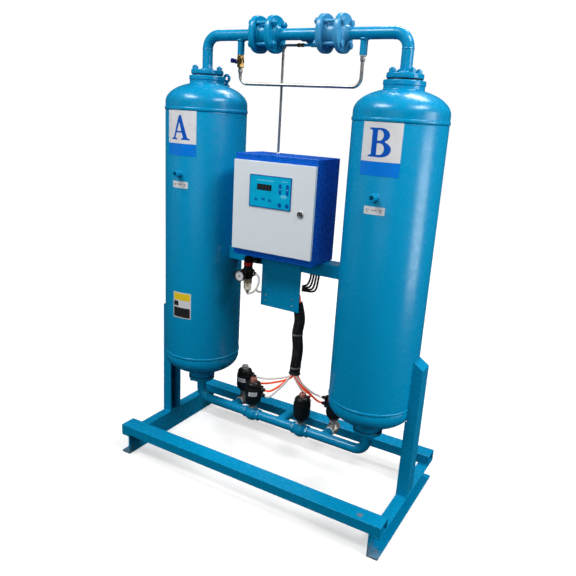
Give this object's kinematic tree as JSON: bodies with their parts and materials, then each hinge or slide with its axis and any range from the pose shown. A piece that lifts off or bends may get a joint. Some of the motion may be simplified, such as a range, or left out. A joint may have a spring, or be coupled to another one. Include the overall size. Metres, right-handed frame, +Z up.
{
  "type": "adsorption air dryer",
  "caption": "Twin-tower desiccant compressed-air dryer on a channel frame, with check-valve pipework above, a piston-valve manifold below and a control box between the towers.",
  "frame": {"origin": "on the floor under the middle of the base frame", "axes": "+Z up, +X from the left tower to the right tower seen from the control box's door, the door facing -Y"},
  "size_m": [1.016, 0.514, 1.5245],
  "materials": {
    "blue_enamel": "glossy sprayed enamel",
    "royal_blue_powder": "satin powder coat",
    "grey_powder": "fine textured powder coat",
    "keypad_film": "printed membrane film",
    "black_plastic": "moulded glass-filled nylon",
    "black_rubber": "matt rubber and cable jacket",
    "bright_steel": "drawn stainless tube and plated nuts",
    "cast_stainless": "as-cast stainless, machined ends",
    "brass": "turned brass",
    "desiccant": "alumina beads, as one packed bed",
    "clear_plastic": "clear polycarbonate and nylon tube",
    "circuit_board": "solder mask",
    "nylon_tube": "red and clear pneumatic tube in a black sheath",
    "dial": "white gauge dial in a black case"
  },
  "bodies": {
    "frame": {"side_rail_left": "blue_enamel", "side_rail_right": "blue_enamel", "front_bar": "blue_enamel", "rear_bar": "blue_enamel", "post_left": "blue_enamel", "post_right": "blue_enamel", "cross_beam": "blue_enamel", "valve_plate": "blue_enamel", "vessel_a": "blue_enamel", "vessel_b": "blue_enamel", "lifting_eye_a": "blue_enamel", "lifting_eye_b": "blue_enamel", "top_pipe_a": "blue_enamel", "top_pipe_b": "blue_enamel", "outlet_pipe": "blue_enamel", "check_valve_body_a": "blue_enamel", "check_valve_body_b": "blue_enamel", "manifold_a": "blue_enamel", "manifold_b": "blue_enamel", "inlet_pipe": "blue_enamel", "inlet_valve_a_body": "blue_enamel", "inlet_valve_b_body": "blue_enamel", "box_body": "royal_blue_powder", "inlet_valve_a_actuator": "black_plastic", "inlet_valve_b_actuator": "black_plastic", "exhaust_valve_a_actuator": "black_plastic", "exhaust_valve_b_actuator": "black_plastic", "regulator_body": "black_plastic", "top_gasket_a": "black_rubber", "top_gasket_b": "black_rubber", "valve_cables": "black_rubber", "purge_tube": "bright_steel", "pilot_air_tube": "bright_steel", "exhaust_valve_a_body": "cast_stainless", "exhaust_valve_b_body": "cast_stainless", "lower_screen_a": "cast_stainless", "upper_screen_a": "cast_stainless", "lower_screen_b": "cast_stainless", "upper_screen_b": "cast_stainless", "pilot_valve_bank": "cast_stainless", "purge_valve_body": "brass", "desiccant_bed_a": "desiccant", "desiccant_bed_b": "desiccant", "filter_bowl": "clear_plastic", "regulator_hose": "clear_plastic", "tube_harness": "nylon_tube", "gauge_case": "dial"},
    "door": {"box_door": "grey_powder", "keypad_panel": "keypad_film", "controller_board": "circuit_board"},
    "lock": {"door_lock": "bright_steel"},
    "purge_handle": {"purge_valve_handle": "royal_blue_powder"},
    "regulator_knob": {"regulator_knob": "black_plastic"},
    "gauge_needle": {"gauge_needle": "black_plastic"},
    "check_disc_a": {"check_valve_disc_a": "bright_steel"},
    "check_disc_b": {"check_valve_disc_b": "bright_steel"},
    "inlet_stem_a": {"inlet_valve_a_stem": "cast_stainless"},
    "inlet_stem_b": {"inlet_valve_b_stem": "cast_stainless"},
    "exhaust_stem_a": {"exhaust_valve_a_stem": "cast_stainless"},
    "exhaust_stem_b": {"exhaust_valve_b_stem": "cast_stainless"}
  },
  "joints": [
    {"name": "door_hinge", "type": "hinge", "parent": "frame", "child": "door", "pos_m": [-0.143, -0.1056, 0.9535], "axis": [0, 0, -1], "range_deg": [0, 105]},
    {"name": "lock_turn", "type": "hinge", "parent": "door", "child": "lock", "pos_m": [0.104, -0.116, 0.95], "axis": [0, -1, 0], "range_deg": [0, 90]},
    {"name": "purge_handle_turn", "type": "hinge", "parent": "frame", "child": "purge_handle", "pos_m": [-0.233, 0, 1.391], "axis": [-1, 0, 0], "range_deg": [0, 90]},
    {"name": "regulator_knob_turn", "type": "hinge", "parent": "frame", "child": "regulator_knob", "pos_m": [-0.115, -0.054, 0.766], "axis": [0, 0, 1], "range_deg": [-300, 300]},
    {"name": "gauge_needle_sweep", "type": "hinge", "parent": "frame", "child": "gauge_needle", "pos_m": [-0.118, -0.106, 0.717], "axis": [0, 1, 0], "range_deg": [0, 270], "stiffness_Nm_per_rad": 0.0001, "springref_deg": -17.19},
    {"name": "check_disc_a_lift", "type": "slide", "parent": "frame", "child": "check_disc_a", "axis": [1, 0, 0], "range_m": [0, 0.006], "stiffness_N_per_m": 60, "springref_m": -0.004},
    {"name": "check_disc_b_lift", "type": "slide", "parent": "frame", "child": "check_disc_b", "axis": [-1, 0, 0], "range_m": [0, 0.006], "stiffness_N_per_m": 60, "springref_m": -0.004},
    {"name": "inlet_stem_a_lift", "type": "slide", "parent": "frame", "child": "inlet_stem_a", "axis": [0, 0, 1], "range_m": [0, 0.012], "stiffness_N_per_m": 400, "springref_m": -0.01},
    {"name": "exhaust_stem_a_lift", "type": "slide", "parent": "frame", "child": "exhaust_stem_a", "axis": [0, 0, 1], "range_m": [0, 0.012], "stiffness_N_per_m": 400, "springref_m": -0.01},
    {"name": "inlet_stem_b_lift", "type": "slide", "parent": "frame", "child": "inlet_stem_b", "axis": [0, 0, 1], "range_m": [0, 0.012], "stiffness_N_per_m": 400, "springref_m": -0.01},
    {"name": "exhaust_stem_b_lift", "type": "slide", "parent": "frame", "child": "exhaust_stem_b", "axis": [0, 0, 1], "range_m": [0, 0.012], "stiffness_N_per_m": 400, "springref_m": -0.01}
  ]
}
